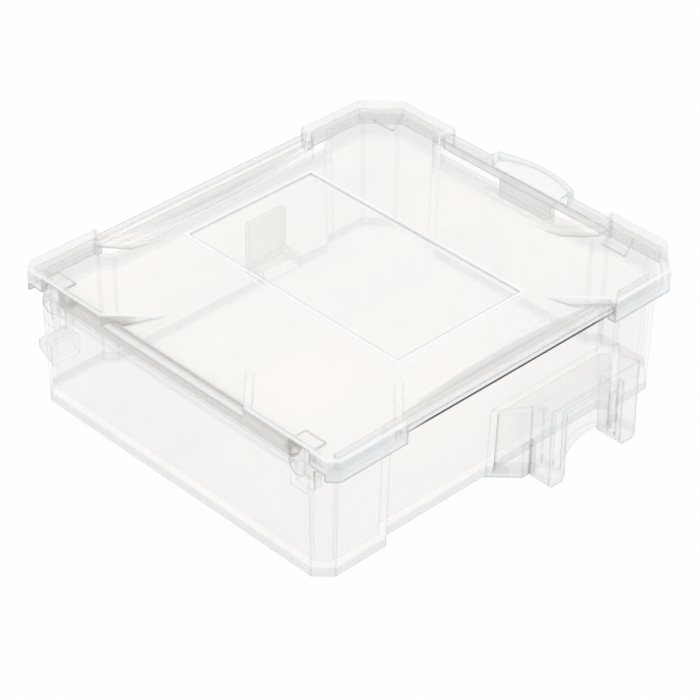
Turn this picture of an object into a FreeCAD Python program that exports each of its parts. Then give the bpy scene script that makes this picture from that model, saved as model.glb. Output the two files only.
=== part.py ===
import FreeCAD, Part

import math
import os
from collections import namedtuple

import Sketcher
from FreeCAD import Placement, Rotation, Vector

# Small parts box: an open tray and a lid that swings on two pins at the back of it.
# Millimetres. X runs across the box, Y from the latch side (minus) to the hinge side (plus), Z up.
# The origin is on the table, below the middle of the lid.

SIZES = (
    ("lid_width", 86.0, "lid, side to side"),
    ("lid_length", 95.5, "lid, latch edge to hinge edge"),
    ("lid_top", 29.8, "top of the closed lid above the table"),
    ("skirt_depth", 5.2, "lid side wall, top to lower edge"),
    ("lid_wall", 1.4, "thickness of the lid's side wall"),
    ("plate", 1.4, "thickness of the lid's plate"),
    ("hinge_bevel", 1.86, "leg of the lid's corner bevels at the hinge"),
    ("latch_bevel", 7.03, "leg of the lid's corner bevels at the latch"),
    ("top_round", 1.0, "rounding of the lid's top edges"),
    ("corner_round", 0.8, "rounding of upright corners"),
    ("rim_set", 0.5, "scooped edges behind the lid's outline"),
    ("scoop_depth", 1.75, "scooped edges below the lid's top"),
    ("side_lip", 1.5, "height of the side scoops' outer edge"),
    ("side_scoop", 11.0, "inner line of the side scoops behind the lid's side edge"),
    ("side_flare", 9.4, "widening of the side scoops at each end"),
    ("side_ramp", 4.2, "width of the side scoops' slope"),
    ("side_ramp_drop", 2.2, "fall of the side scoops' slope"),
    ("side_scoop_hinge", 27.75, "hinge end of the side scoops' inner line from the hinge edge"),
    ("side_scoop_latch", 32.0, "latch end of the side scoops' inner line from the latch edge"),
    ("latch_scoop", 14.25, "inner line of the latch scoop behind the latch edge"),
    ("latch_scoop_half", 11.4, "half width of the latch scoop's inner line"),
    ("latch_scoop_flare", 10.0, "widening of the latch scoop at each end"),
    ("latch_ramp", 4.0, "width of the latch scoop's slope"),
    ("latch_ramp_drop", 2.2, "fall of the latch scoop's slope"),
    ("hinge_scoop", 9.65, "inner line of the hinge scoop behind the hinge edge"),
    ("hinge_scoop_half", 10.1, "half width of the hinge scoop's inner line"),
    ("hinge_ramp", 6.2, "width of the hinge scoop's slope"),
    ("hinge_ramp_drop", 2.6, "fall of the hinge scoop's slope"),
    ("tab_half", 10.2, "half width of the thumb tab"),
    ("tab_valley", 6.95, "lowest line of the latch scoop behind the latch edge"),
    ("tab_valley_depth", 2.3, "lowest line of the latch scoop below the lid's top"),
    ("tab_crest", 1.25, "crest of the thumb tab behind the latch edge"),
    ("tab_crest_depth", 1.3, "crest of the thumb tab below the lid's top"),
    ("tab_hollow", 14.0, "radius of the thumb tab's hollow"),
    ("tab_side_reach", 1.25, "outer corners of the thumb tab past the latch edge"),
    ("tab_reach", 3.45, "outer edge of the thumb tab past the latch edge"),
    ("tab_edge_radius", 24.8, "radius of the thumb tab's outer edge"),
    ("tab_fall", 0.4, "fall of the thumb tab's top to its outer edge"),
    ("tab_lip", 1.1, "thickness of the thumb tab's outer edge"),
    ("panel_half", 28.5, "half width of the bare label panel"),
    ("panel_hinge", 17.8, "hinge edge of the label panel"),
    ("panel_latch", 14.2, "latch edge of the label panel"),
    ("panel_depth", 0.4, "depth of the label panel"),
    ("arrow_place", 11.5, "middle of each raised arrow from the side edge"),
    ("arrow_base", 10.75, "base of the arrows from the latch edge"),
    ("arrow_length", 5.8, "arrow, base to point"),
    ("arrow_half", 2.9, "half width of an arrow's base"),
    ("arrow_height", 0.35, "height of the arrows above the lid"),
    ("hinge_drop", 3.8, "hinge axis below the lid's top"),
    ("roll_radius", 1.75, "radius of the lid's hinge roll and of the ears"),
    ("pin_radius", 1.0, "radius of the tray's hinge pins"),
    ("pin_fit", 0.05, "radial play of a pin in its socket"),
    ("pin_length", 1.8, "hinge pin past its ear"),
    ("ear_place", 8.8, "middle of each ear from the side edge"),
    ("ear_width", 4.4, "width of an ear"),
    ("ear_play", 0.4, "air beside an ear"),
    ("ear_slot_roof", 0.9, "lid left above an ear"),
    ("ear_lump", 0.35, "ear's outer lump proud of the lid's edge"),
    ("ear_lump_low", 7.3, "bottom of an ear's outer lump below the lid's top"),
    ("hinge_gap", 0.55, "air between hinge roll and tray rim"),
    ("skirt_gap", 1.1, "air between the lid's side wall and a post's rim"),
    ("draft", 1.25, "mould draft of the tray's walls in degrees"),
    ("tray_wall", 1.3, "thickness of the tray's walls"),
    ("floor_thickness", 2.4, "thickness of the tray's floor"),
    ("rim_gap", 0.6, "air between a post's rim and the lid's plate"),
    ("panel_gap", 1.0, "air between a wall panel's rim and the scoops"),
    ("recess", 2.2, "wall panels behind the corner posts"),
    ("tray_bevel", 3.2, "leg of the tray's corner bevels at the hinge"),
    ("side_post_hinge", 16.25, "start of the side posts from the hinge edge"),
    ("side_post_latch", 18.15, "start of the side posts from the latch edge"),
    ("latch_post", 19.5, "start of the latch side's posts from the side edge"),
    ("rim_step", 0.3, "low rim carried past the start of a post"),
    ("base_round", 0.8, "rounding of the tray's lower edge"),
    ("floor_round", 1.0, "rounding between floor and walls inside"),
    ("catch_half", 8.0, "half width of the latch's catch bead"),
    ("catch_proud", 2.4, "catch bead proud of the wall"),
    ("catch_low", 8.0, "bottom of the catch bead below the lid's top"),
    ("catch_high", 6.5, "top of the catch bead below the lid's top"),
    ("tongue_half", 7.0, "half width of the lid's latch tongue"),
    ("tongue_wall", 1.25, "thickness of the latch tongue"),
    ("tongue_low", 9.5, "lower end of the latch tongue below the lid's top"),
    ("tongue_bead", 0.35, "bead on the latch tongue"),
    ("clip_middle", 33.05, "middle of the clip from the latch edge"),
    ("clip_half", 12.0, "half width over the clip's legs"),
    ("clip_neck", 0.5, "end of the clip's slanted sides past the lid's side edge"),
    ("clip_reach", 5.4, "outer face of the clip's legs past the lid's side edge"),
    ("clip_foot", 0.1, "clip's legs above the table"),
    ("clip_shelf", 15.4, "clip's top at the tray wall"),
    ("clip_brow", 18.0, "clip's top at its outer edge"),
    ("clip_wall", 1.4, "thickness of the clip's walls"),
    ("clip_roof", 14.0, "roof of the clip's pocket"),
    ("leg_width", 4.3, "width of a clip leg"),
    ("leg_slit", 0.9, "slit between a leg and the slanted side"),
    ("slit_height", 8.0, "upper end of the slits"),
    ("web_set", 1.3, "clip's web behind the face of its legs"),
    ("web_wall", 1.7, "thickness of the clip's web"),
    ("arch_spring", 1.8, "start of the arch in the clip's web"),
    ("arch_radius", 8.26, "radius of the arch in the clip's web"),
    ("leg_round", 1.2, "rounding of the lower ends of the legs"),
    ("hook_half", 5.0, "half width of the hook for the next box's clip"),
    ("hook_reach", 0.3, "outer face of the hook past the lid's side edge"),
    ("hook_wall", 1.3, "thickness of the hook's tongue"),
    ("hook_low", 0.8, "bottom of the hook"),
    ("hook_arm", 3.8, "top of the hook's arm"),
    ("hook_top", 13.0, "top of the hook's tongue"),
    ("nub_reach", 1.2, "outer face of the side nub past the lid's side edge"),
    ("nub_hinge", 4.15, "hinge end of the side nub from the hinge edge"),
    ("nub_length", 6.6, "length of the side nub"),
    ("nub_top", 9.6, "top of the side nub"),
    ("nub_face", 2.2, "upright face of the side nub"),
    ("nub_low", 4.7, "lower end of the side nub"),
)

# A cutter or sketch runs this far past the material it must clear.
PAST = 1.0

Ring = namedtuple("Ring", "x y radius")
Bend = namedtuple("Bend", "x y radius")


class Size:
    """A length with the sheet formula that gives it."""

    def __init__(self, value, formula):
        self.value = value
        self.formula = formula

    def joined(self, other, sign, value):
        return Size(value, f"({self.formula} {sign} {other.formula})")

    def __add__(self, other):
        other = as_size(other)
        return self.joined(other, "+", self.value + other.value)

    def __sub__(self, other):
        other = as_size(other)
        return self.joined(other, "-", self.value - other.value)

    def __mul__(self, other):
        other = as_size(other)
        return self.joined(other, "*", self.value * other.value)

    def __truediv__(self, other):
        other = as_size(other)
        return self.joined(other, "/", self.value / other.value)

    def __neg__(self):
        return Size(-self.value, f"(-1 * {self.formula})")


def as_size(number):
    if isinstance(number, Size):
        return number
    return Size(float(number), f"{float(number):.6f}")


def tangent(angle):
    return Size(math.tan(math.radians(angle.value)), f"tan({angle.formula})")


ROOT_TWO = Size(math.sqrt(2.0), "sqrt(2)")
# A wall set in by one leaves a 45 degree bevel shorter by BEVEL_LOSS and moves a 45 degree step by STEP_SHIFT.
BEVEL_LOSS = Size(2.0 - math.sqrt(2.0), "(2 - sqrt(2))")
STEP_SHIFT = Size(math.sqrt(2.0) - 1.0, "(sqrt(2) - 1)")


class Sizes:
    """The sheet of driving sizes, each one also an attribute here."""

    def __init__(self, document, rows):
        sheet = document.addObject("Spreadsheet::Sheet", "Sizes")
        for row, (alias, value, note) in enumerate(rows, start=1):
            sheet.set(f"A{row}", note)
            sheet.set(f"B{row}", str(value))
            sheet.setAlias(f"B{row}", alias)
            setattr(self, alias, Size(value, f"Sizes.{alias}"))
        document.recompute()


def bind(feature, name, size):
    """Set a feature's property and tie it to the sheet."""
    size = as_size(size)
    setattr(feature, name, size.value)
    feature.setExpression(name, size.formula)


def origin_plane(body, role):
    for feature in body.Origin.OriginFeatures:
        if feature.Role == role:
            return feature
    raise ValueError(f"{body.Label} has no {role}")


def fix_point(sketch, edge, end, x, y):
    """Hold one end of a sketch edge at x, y from the sketch's origin."""
    for kind, size in (("DistanceX", x), ("DistanceY", y)):
        number = sketch.addConstraint(Sketcher.Constraint(kind, -1, 1, edge, end, size.value))
        sketch.setExpression(f"Constraints[{number}]", size.formula)


def draw_ring(sketch, ring):
    middle = Vector(ring.x.value, ring.y.value, 0)
    edge = sketch.addGeometry(Part.Circle(middle, Vector(0, 0, 1), ring.radius.value), False)
    fix_point(sketch, edge, 3, ring.x, ring.y)
    number = sketch.addConstraint(Sketcher.Constraint("Radius", edge, ring.radius.value))
    sketch.setExpression(f"Constraints[{number}]", ring.radius.formula)


def draw_edge(sketch, corner, after):
    """One side of an outline, straight, or bent clockwise after a Bend, with its two end numbers."""
    start = Vector(corner[0].value, corner[1].value, 0)
    end = Vector(after[0].value, after[1].value, 0)
    if not isinstance(corner, Bend):
        return sketch.addGeometry(Part.LineSegment(start, end), False), 1, 2
    along = end - start
    aside = Vector(along.y, -along.x, 0).normalize()
    depth = math.sqrt(corner.radius.value**2 - along.Length**2 / 4.0)
    middle = (start + end) * 0.5 + aside * depth
    first = math.atan2(end.y - middle.y, end.x - middle.x)
    last = math.atan2(start.y - middle.y, start.x - middle.x)
    circle = Part.Circle(middle, Vector(0, 0, 1), corner.radius.value)
    edge = sketch.addGeometry(Part.ArcOfCircle(circle, first, last), False)
    number = sketch.addConstraint(Sketcher.Constraint("Radius", edge, corner.radius.value))
    sketch.setExpression(f"Constraints[{number}]", corner.radius.formula)
    return edge, 2, 1


def draw_outline(sketch, corners):
    drawn = []
    for place, corner in enumerate(corners):
        after = corners[(place + 1) % len(corners)]
        drawn.append(draw_edge(sketch, corner, after))
    for place, (edge, start, end) in enumerate(drawn):
        next_edge, next_start, _ = drawn[(place + 1) % len(drawn)]
        sketch.addConstraint(Sketcher.Constraint("Coincident", edge, end, next_edge, next_start))
        fix_point(sketch, edge, start, corners[place][0], corners[place][1])


def draw(body, name, plane, lift, *shapes):
    """A sketch lifted along the normal of one of the body's origin planes."""
    sketch = body.newObject("Sketcher::SketchObject", name)
    sketch.AttachmentSupport = [(origin_plane(body, plane), "")]
    sketch.MapMode = "FlatFace"
    lift = as_size(lift)
    sketch.AttachmentOffset = Placement(Vector(0, 0, lift.value), Rotation())
    sketch.setExpression("AttachmentOffset.Base.z", lift.formula)
    for shape in shapes:
        if isinstance(shape, Ring):
            draw_ring(sketch, shape)
        else:
            draw_outline(sketch, shape)
    sketch.Visibility = False
    return sketch


def extrude(body, kind, name, sketch, length, draft=None):
    """Add (Pad) or take away (Pocket) a sketch's shape along its normal."""
    feature = body.newObject(f"PartDesign::{kind}", name)
    feature.Profile = sketch
    feature.Reversed = kind == "Pocket"
    bind(feature, "Length", length)
    if draft is not None:
        bind(feature, "TaperAngle", draft)
    return feature


def shape_up(body, kind, name, low, high, *shapes, draft=None):
    """Extrude plan shapes from height low to height high."""
    low, high = as_size(low), as_size(high)
    return extrude(body, kind, name, draw(body, f"{name}_plan", "XY_Plane", low, *shapes), high - low, draft)


def shape_along_x(body, kind, name, low, high, *shapes):
    """Extrude Y, Z shapes from X low to X high."""
    low, high = as_size(low), as_size(high)
    return extrude(body, kind, name, draw(body, f"{name}_profile", "YZ_Plane", low, *shapes), high - low)


def shape_along_y(body, kind, name, low, high, *shapes):
    """Extrude X, Z shapes from Y high down to Y low, because that plane's normal points to minus Y."""
    low, high = as_size(low), as_size(high)
    return extrude(body, kind, name, draw(body, f"{name}_profile", "XZ_Plane", -high, *shapes), high - low)


def box_plan(left, right, low, high):
    left, right, low, high = (as_size(side) for side in (left, right, low, high))
    return [(left, low), (left, high), (right, high), (right, low)]


def mirrored(half):
    """An outline closed by the mirror image of its plus X half."""
    return half + [(-x, y) for x, y in reversed(half)]


def sided(side, corners):
    """Corners given for plus X, moved to minus X when side is -1."""
    if side > 0:
        return corners
    return [(-x, y) for x, y in reversed(corners)]


def combine(body, kind, name, tools):
    feature = body.newObject("PartDesign::Boolean", name)
    feature.Type = kind
    feature.addObjects(tools)
    for tool in tools:
        tool.Visibility = False
    return feature


def round_edges(body, name, feature, radius, wanted):
    """Fillet the edges of a feature that a rule picks."""
    body.Document.recompute()
    names = [f"Edge{i}" for i, edge in enumerate(feature.Shape.Edges, start=1) if wanted(edge)]
    if not names:
        raise ValueError(f"no edge for {name}")
    fillet = body.newObject("PartDesign::Fillet", name)
    fillet.Base = (feature, names)
    bind(fillet, "Radius", radius)
    body.Document.recompute()
    if "Invalid" in fillet.State or not fillet.Shape.isValid():
        raise ValueError(f"{name} failed: {fillet.State}")
    return fillet


def ends(edge):
    return [vertex.Point for vertex in edge.Vertexes]


def is_flat_at(edge, height):
    return all(abs(point.z - height) < 1e-4 for point in ends(edge))


def is_upright(edge):
    points = ends(edge)
    if len(points) < 2:
        return False
    along = points[1] - points[0]
    return along.Length > 2.0 and abs(along.z) > 0.9 * along.Length


def is_along_x(edge):
    points = ends(edge)
    return len(points) == 2 and abs(points[1].x - points[0].x) > 0.99 * edge.Length


def touches_x(edge, place):
    return any(abs(point.x - place) < 1e-4 for point in ends(edge))


class Levels:
    """Heights and places that both mouldings share."""

    def __init__(self, d):
        side = d.lid_width / 2
        end = d.lid_length / 2
        self.underside = d.lid_top - d.plate
        self.skirt_bottom = d.lid_top - d.skirt_depth
        self.side_rim = side - d.rim_set
        self.latch_rim = end - d.rim_set
        self.axis_y = end - d.roll_radius
        self.axis_z = d.lid_top - d.hinge_drop
        self.post_rim = self.underside - d.rim_gap
        self.panel_rim = self.underside - d.scoop_depth - d.panel_gap
        self.hinge_rim = self.axis_z - d.roll_radius - d.hinge_gap
        self.slope = tangent(d.draft)
        inset = d.lid_wall + d.skirt_gap + self.slope * self.post_rim
        self.half = side - inset
        self.latch_face = inset - end
        self.hinge_face = end - self.slope * self.hinge_rim
        self.latch_bevel = d.latch_bevel - BEVEL_LOSS * inset
        self.side_panel = self.half - d.recess
        self.latch_panel = self.latch_face + d.recess
        # What the sheet gives from an edge or the top of the lid, from the middle and the table instead
        self.side_scoop = side - d.side_scoop
        self.side_scoop_hinge = end - d.side_scoop_hinge
        self.side_scoop_latch = end - d.side_scoop_latch
        self.latch_scoop = end - d.latch_scoop
        self.hinge_scoop = end - d.hinge_scoop
        self.tab_valley = end - d.tab_valley
        self.tab_crest = end - d.tab_crest
        self.tab_side_reach = end + d.tab_side_reach
        self.tab_reach = end + d.tab_reach
        self.arrow_place = side - d.arrow_place
        self.arrow_base = end - d.arrow_base
        self.ear_place = side - d.ear_place
        self.ear_lump_low = d.lid_top - d.ear_lump_low
        self.side_post_hinge = end - d.side_post_hinge
        self.side_post_latch = end - d.side_post_latch
        self.latch_post = side - d.latch_post
        self.catch_low = d.lid_top - d.catch_low
        self.catch_high = d.lid_top - d.catch_high
        self.tongue_low = d.lid_top - d.tongue_low
        self.clip_middle = end - d.clip_middle
        self.clip_neck = side + d.clip_neck
        self.clip_reach = side + d.clip_reach
        self.hook_reach = side + d.hook_reach
        self.nub_reach = side + d.nub_reach
        self.nub_hinge = end - d.nub_hinge


def tray_outline(d, at, inset):
    """Plan of the tray at the table: corner posts with set back panels between them."""
    half = at.half - inset
    hinge = at.hinge_face - inset
    latch = at.latch_face + inset
    hinge_leg = d.tray_bevel - BEVEL_LOSS * inset
    latch_leg = at.latch_bevel - BEVEL_LOSS * inset
    post_hinge = at.side_post_hinge + STEP_SHIFT * inset
    post_latch = -at.side_post_latch - STEP_SHIFT * inset
    post_side = at.latch_post + STEP_SHIFT * inset
    return mirrored([
        (half - hinge_leg, hinge),
        (half, hinge - hinge_leg),
        (half, post_hinge),
        (half - d.recess, post_hinge - d.recess),
        (half - d.recess, post_latch + d.recess),
        (half, post_latch),
        (half, latch + latch_leg),
        (half - latch_leg, latch),
        (post_side, latch),
        (post_side - d.recess, latch + d.recess),
    ])


def tray_shell(body, d, at):
    """The drafted cup with rounded edges and its low rims."""
    shape_up(body, "Pad", "tray_outside", 0, at.post_rim, tray_outline(d, at, as_size(0)), draft=d.draft)
    shell = shape_up(body, "Pocket", "tray_inside", d.floor_thickness, at.post_rim + PAST,
                     tray_outline(d, at, d.tray_wall), draft=d.draft)
    shell = round_edges(body, "base_edge", shell, d.base_round, lambda edge: is_flat_at(edge, 0.0))
    floor = d.floor_thickness.value
    round_edges(body, "floor_edge", shell, d.floor_round, lambda edge: is_flat_at(edge, floor))
    top = at.post_rim + PAST
    past_side = d.lid_width / 2
    past_latch = -d.lid_length / 2
    panel_inside = at.side_panel - d.tray_wall - PAST
    for side in (1, -1):
        hand = "right" if side > 0 else "left"
        low = -at.side_post_latch - d.rim_step
        high = at.side_post_hinge + d.rim_step
        plan = box_plan(panel_inside, past_side, low, high)
        shape_up(body, "Pocket", f"side_rim_{hand}", at.panel_rim, top, sided(side, plan))
    latch_rim = at.latch_post + d.rim_step
    shape_up(body, "Pocket", "latch_rim", at.panel_rim, top,
             box_plan(-latch_rim, latch_rim, past_latch, at.latch_panel + d.tray_wall + PAST))
    shape_up(body, "Pocket", "hinge_rim", at.hinge_rim, top,
             box_plan(-past_side, past_side, at.axis_y - d.roll_radius - d.ear_play, d.lid_length / 2 + PAST))


def tray_hinge(body, d, at):
    """Two ears with a pin each, pointing to the middle."""
    stem_low = at.hinge_rim - d.ear_width
    outer = d.lid_length / 2 + d.ear_lump
    lump_round = d.ear_width / 2
    lump_middle = at.ear_lump_low + lump_round
    lump_top = at.axis_z - PAST
    for side, hand in ((1, "right"), (-1, "left")):
        inner = at.ear_place - d.ear_width / 2
        low = inner if side > 0 else -inner - d.ear_width
        stem = box_plan(at.axis_y - d.roll_radius, at.axis_y + d.roll_radius, stem_low, at.axis_z)
        shape_along_x(body, "Pad", f"ear_stem_{hand}", low, low + d.ear_width, stem)
        head = Ring(at.axis_y, at.axis_z, d.roll_radius)
        shape_along_x(body, "Pad", f"ear_head_{hand}", low, low + d.ear_width, head)
        pin_low = inner - d.pin_length if side > 0 else -inner - PAST
        pin = Ring(at.axis_y, at.axis_z, d.pin_radius)
        shape_along_x(body, "Pad", f"pin_{hand}", pin_low, pin_low + d.pin_length + PAST, pin)
        lump = box_plan(low, low + d.ear_width, lump_middle, lump_top)
        shape_along_y(body, "Pad", f"lump_{hand}", at.axis_y, outer, lump)
        lump_end = Ring(low + lump_round, lump_middle, lump_round)
        shape_along_y(body, "Pad", f"lump_end_{hand}", at.axis_y, outer, lump_end)


def tray_catch(body, d, at):
    """The bead on the latch wall that the lid's tongue snaps past."""
    root = at.latch_panel + d.tray_wall / 2
    low_face = at.latch_panel - at.slope * at.catch_low
    proud = low_face - d.catch_proud
    middle = (at.catch_low + at.catch_high) / 2
    bead = [(root, at.catch_low), (low_face, at.catch_low), (proud, middle), (low_face, at.catch_high),
            (root, at.catch_high)]
    shape_along_x(body, "Pad", "catch_bead", -d.catch_half, d.catch_half, bead)


def make_clip(document, d, at):
    """The coupling clip of the left wall: a roofed pocket with two legs, open below."""
    body = document.addObject("PartDesign::Body", "clip")
    root = at.side_panel - d.tray_wall / 2
    post_root = at.half - d.tray_wall / 2
    near = d.clip_half - at.clip_middle
    far = -d.clip_half - at.clip_middle
    bend = at.side_post_latch - d.recess
    below = as_size(-PAST)
    shape_up(body, "Pad", "clip_block", d.clip_foot, d.clip_brow, [
        (-root, near + at.clip_neck - root),
        (-at.clip_neck, near),
        (-at.clip_reach, near),
        (-at.clip_reach, far),
        (-at.clip_neck, far),
        (-post_root, far - at.clip_neck + post_root),
        (-post_root, -bend - post_root + root),
        (-root, -bend),
    ])
    past_root = root - PAST
    slant_near = near + at.clip_neck - ROOT_TWO * d.clip_wall
    slant_far = far - at.clip_neck + ROOT_TWO * d.clip_wall
    neck = at.clip_neck - PAST
    web_inside = at.clip_reach - d.web_set - d.web_wall
    leg_near = near - d.leg_width
    leg_far = far + d.leg_width
    shape_up(body, "Pocket", "clip_pocket", below, d.clip_roof, [
        (-past_root, slant_near - past_root),
        (-neck, slant_near - neck),
        (-neck, leg_near),
        (-web_inside, leg_near),
        (-web_inside, leg_far),
        (-neck, leg_far),
        (-neck, slant_far + neck),
        (-past_root, slant_far + past_root),
    ])
    slope = [
        (-past_root, d.clip_shelf),
        (-root, d.clip_shelf),
        (-at.clip_reach, d.clip_brow),
        (-at.clip_reach, d.clip_brow + PAST),
        (-past_root, d.clip_brow + PAST),
    ]
    shape_along_y(body, "Pocket", "clip_slope", slant_far, slant_near, slope)
    shape_along_x(body, "Pocket", "clip_web_face", -at.clip_reach - PAST, d.web_set - at.clip_reach,
                  box_plan(leg_far, leg_near, below, d.clip_shelf))
    arch = [
        (leg_far, below),
        Bend(leg_far, d.arch_spring, d.arch_radius),
        (leg_near, d.arch_spring),
        (leg_near, below),
    ]
    shape_along_x(body, "Pocket", "clip_arch", -at.clip_reach - PAST, d.web_set - web_inside, arch)
    slit = d.leg_slit - at.clip_neck
    slits = shape_up(body, "Pocket", "clip_slits", below, d.slit_height,
                     box_plan(-at.clip_neck, slit, near - d.clip_wall, near + d.clip_wall),
                     box_plan(-at.clip_neck, slit, far - d.clip_wall, far + d.clip_wall))
    foot = d.clip_foot.value
    outer = -at.clip_reach.value
    round_edges(body, "leg_ends", slits, d.leg_round,
                lambda edge: is_flat_at(edge, foot) and is_along_x(edge) and touches_x(edge, outer))
    return body


def tray_side_hook(body, d, at):
    """On the right wall: the hook that the next box's clip drops over, and the small nub by the hinge."""
    root = at.side_panel - d.tray_wall / 2
    tongue = at.hook_reach - d.hook_wall
    hook = [
        (root, d.hook_low),
        (at.hook_reach, d.hook_low),
        (at.hook_reach, d.hook_top),
        (tongue, d.hook_top),
        (tongue, d.hook_arm),
        (root, d.hook_arm),
    ]
    shape_along_y(body, "Pad", "side_hook", -at.clip_middle - d.hook_half, -at.clip_middle + d.hook_half, hook)
    post_root = at.half - d.tray_wall / 2
    nub = [
        (post_root, d.nub_low),
        (at.nub_reach, d.nub_top - d.nub_face),
        (at.nub_reach, d.nub_top),
        (post_root, d.nub_top),
    ]
    shape_along_y(body, "Pad", "side_nub", at.nub_hinge - d.nub_length, at.nub_hinge, nub)


def make_tray(document, d, at):
    body = document.addObject("PartDesign::Body", "tray")
    tray_shell(body, d, at)
    tray_hinge(body, d, at)
    tray_catch(body, d, at)
    combine(body, "Fuse", "clip_joined", [make_clip(document, d, at)])
    tray_side_hook(body, d, at)
    return body


def lid_outline(d, inset):
    half = d.lid_width / 2 - inset
    hinge = d.lid_length / 2 - inset
    hinge_leg = d.hinge_bevel - BEVEL_LOSS * inset
    latch_leg = d.latch_bevel - BEVEL_LOSS * inset
    return mirrored([
        (half - hinge_leg, hinge),
        (half, hinge - hinge_leg),
        (half, latch_leg - hinge),
        (half - latch_leg, -hinge),
    ])


def keep_plan(body, name, low, high, plan, reach):
    """Take away all of a cutter outside a plan."""
    frame = box_plan(-as_size(reach), as_size(reach), -as_size(reach), as_size(reach))
    shape_up(body, "Pocket", name, low, high, frame, plan)


class Growth:
    """What a scoop cuts from the lid, or the same grown by the lid's wall to hollow the lid around it."""

    def __init__(self, d, at, grown):
        self.word = "grown" if grown else "cut"
        self.top = at.underside if grown else d.lid_top
        self.wall = d.lid_wall if grown else as_size(0)
        self.slant = ROOT_TWO * self.wall
        self.bottom = at.skirt_bottom - PAST


def side_scoop(document, d, at, side, grown):
    by = Growth(d, at, grown)
    name = f"{by.word}_side_scoop_{'right' if side > 0 else 'left'}"
    body = document.addObject("PartDesign::Body", name)
    out = d.lid_width / 2 + PAST
    rim = at.side_rim - by.wall
    profile = [
        (rim, by.bottom),
        (rim, by.top - d.scoop_depth),
        (at.side_scoop + d.side_ramp, by.top - d.side_ramp_drop),
        (at.side_scoop, by.top),
        (at.side_scoop, by.top + PAST),
        (out, by.top + PAST),
        (out, by.bottom),
    ]
    half_length = d.lid_length / 2
    shape_along_y(body, "Pad", f"{name}_ramp", -half_length, half_length, sided(side, profile))
    hinge_end = at.side_scoop_hinge + by.slant
    latch_end = -at.side_scoop_latch - by.slant
    hinge_out = at.side_scoop_hinge + d.side_flare + by.wall
    latch_out = -at.side_scoop_latch - d.side_flare - by.wall
    plan = [
        (at.side_scoop, hinge_end),
        (at.side_scoop + hinge_out - hinge_end, hinge_out),
        (out + PAST, hinge_out),
        (out + PAST, latch_out),
        (at.side_scoop + latch_end - latch_out, latch_out),
        (at.side_scoop, latch_end),
    ]
    keep_plan(body, f"{name}_ends", by.bottom - PAST, by.top + PAST + PAST, sided(side, plan), d.lid_length)
    return body


def latch_scoop(document, d, at, grown):
    by = Growth(d, at, grown)
    name = f"{by.word}_latch_scoop"
    body = document.addObject("PartDesign::Body", name)
    out = -d.lid_length / 2 - PAST
    inner = -at.latch_scoop
    rim = by.wall - at.latch_rim
    profile = [
        (rim, by.bottom),
        (rim, by.top - d.scoop_depth),
        (-at.tab_valley, by.top - d.tab_valley_depth),
        (inner - d.latch_ramp, by.top - d.latch_ramp_drop),
        (inner, by.top),
        (inner, by.top + PAST),
        (out, by.top + PAST),
        (out, by.bottom),
    ]
    half_width = d.lid_width / 2
    shape_along_x(body, "Pad", f"{name}_ramp", -half_width, half_width, profile)
    inner_half = d.latch_scoop_half + by.slant
    outer_half = d.latch_scoop_half + d.latch_scoop_flare + by.wall
    plan = mirrored([
        (inner_half, inner),
        (outer_half, inner - outer_half + inner_half),
        (outer_half, out - PAST),
    ])
    keep_plan(body, f"{name}_ends", by.bottom - PAST, by.top + PAST + PAST, plan, d.lid_length)
    return body


def hinge_scoop(document, d, at, grown):
    by = Growth(d, at, grown)
    name = f"{by.word}_hinge_scoop"
    body = document.addObject("PartDesign::Body", name)
    out = d.lid_length / 2 + PAST
    ramp_end = at.hinge_scoop + d.hinge_ramp
    floor = by.top - d.hinge_ramp_drop
    profile = [
        (ramp_end, floor),
        (at.hinge_scoop, by.top),
        (at.hinge_scoop, by.top + PAST),
        (out, by.top + PAST),
    ]
    if grown:
        profile = profile + [(out, by.bottom), (ramp_end, by.bottom)]
    else:
        profile = profile + [(out, floor)]
    half_width = d.lid_width / 2
    shape_along_x(body, "Pad", f"{name}_ramp", -half_width, half_width, profile)
    inner_half = d.hinge_scoop_half + by.slant
    plan = mirrored([
        (inner_half, at.hinge_scoop),
        (inner_half + out + PAST - at.hinge_scoop, out + PAST),
    ])
    keep_plan(body, f"{name}_ends", by.bottom - PAST, by.top + PAST + PAST, plan, d.lid_length)
    return body


def scoops(document, d, at, grown):
    return [
        side_scoop(document, d, at, 1, grown),
        side_scoop(document, d, at, -1, grown),
        latch_scoop(document, d, at, grown),
        hinge_scoop(document, d, at, grown),
    ]


def lid_hollow(document, d, at):
    """The space under the lid's plate, with solid left around the scoops."""
    body = document.addObject("PartDesign::Body", "lid_hollow")
    shape_up(body, "Pad", "hollow_prism", at.skirt_bottom - PAST, at.underside, lid_outline(d, d.lid_wall))
    combine(body, "Cut", "hollow_around_scoops", scoops(document, d, at, True))
    return body


def lid_side_lips(body, d, at):
    """The outer edges of the side scoops end higher than the rest of the skirt."""
    foot = d.lid_top - d.scoop_depth - d.side_lip
    inner = at.side_rim - d.lid_wall - PAST
    outer = d.lid_width / 2 + PAST
    low = at.skirt_bottom - PAST
    right = box_plan(inner, outer, low, foot)
    left = box_plan(-outer, -inner, low, foot)
    hinge_out = at.side_scoop_hinge + d.side_flare
    latch_out = -at.side_scoop_latch - d.side_flare
    shape_along_y(body, "Pocket", "side_lips", latch_out, hinge_out, right, left)


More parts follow.
